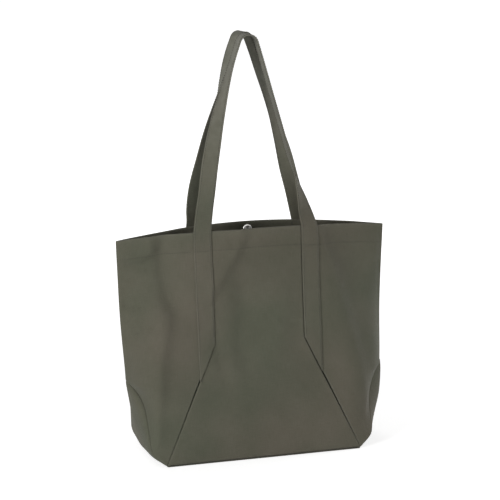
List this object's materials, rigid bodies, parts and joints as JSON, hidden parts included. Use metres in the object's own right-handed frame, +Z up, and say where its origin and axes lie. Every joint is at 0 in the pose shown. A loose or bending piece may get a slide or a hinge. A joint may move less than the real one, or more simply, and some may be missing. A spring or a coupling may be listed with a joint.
{
  "type": "shopping bag",
  "caption": "Canvas tote with a flat bottom, triangular end gussets, a hemmed mouth with a press stud and a pair of long strap handles.",
  "frame": {"origin": "middle of the underside of the base panel, on the surface that the bag stands on", "axes": "+X to the right along the mouth as seen from the front, +Y from the front wall to the back wall, +Z up"},
  "size_m": [0.4186, 0.15, 0.6345],
  "materials": {
    "canvas": "dark olive cotton canvas, plain weave, matt",
    "strap": "olive folded canvas strap, lighter than the body, matt",
    "nickel": "bright nickel plate"
  },
  "bodies": {
    "bag": {"base_panel": "canvas", "left_gusset": "canvas", "right_gusset": "canvas", "front_left_side_panel": "canvas", "front_right_side_panel": "canvas", "back_left_side_panel": "canvas", "back_right_side_panel": "canvas", "front_left_strap_leg": "strap", "front_right_strap_leg": "strap", "back_left_strap_leg": "strap", "back_right_strap_leg": "strap"},
    "front_mouth": {"front_centre_panel": "canvas", "press_stud_ball": "nickel", "press_stud_ball_post": "nickel"},
    "back_mouth": {"back_centre_panel": "canvas", "press_stud_socket": "nickel", "press_stud_socket_post": "nickel"},
    "front_handle": {"front_handle_loop": "strap"},
    "back_handle": {"back_handle_loop": "strap"}
  },
  "joints": [
    {"name": "front_mouth_close", "type": "hinge", "parent": "bag", "child": "front_mouth", "pos_m": [0, -0.0745, 0.0013], "axis": [-1, 0, 0], "range_deg": [0, 3.6], "stiffness_Nm_per_rad": 2},
    {"name": "back_mouth_close", "type": "hinge", "parent": "bag", "child": "back_mouth", "pos_m": [0, 0.0745, 0.0013], "axis": [1, 0, 0], "range_deg": [0, 3.6], "stiffness_Nm_per_rad": 2},
    {"name": "front_handle_fold", "type": "hinge", "parent": "bag", "child": "front_handle", "pos_m": [0, -0.02841, 0.34365], "axis": [1, 0, 0], "range_deg": [0, 165]},
    {"name": "back_handle_fold", "type": "hinge", "parent": "bag", "child": "back_handle", "pos_m": [0, 0.02841, 0.34365], "axis": [-1, 0, 0], "range_deg": [0, 165]}
  ],
  "couplings": [
    {"joint": "back_mouth_close", "follows": "front_mouth_close", "ratio": 1}
  ]
}
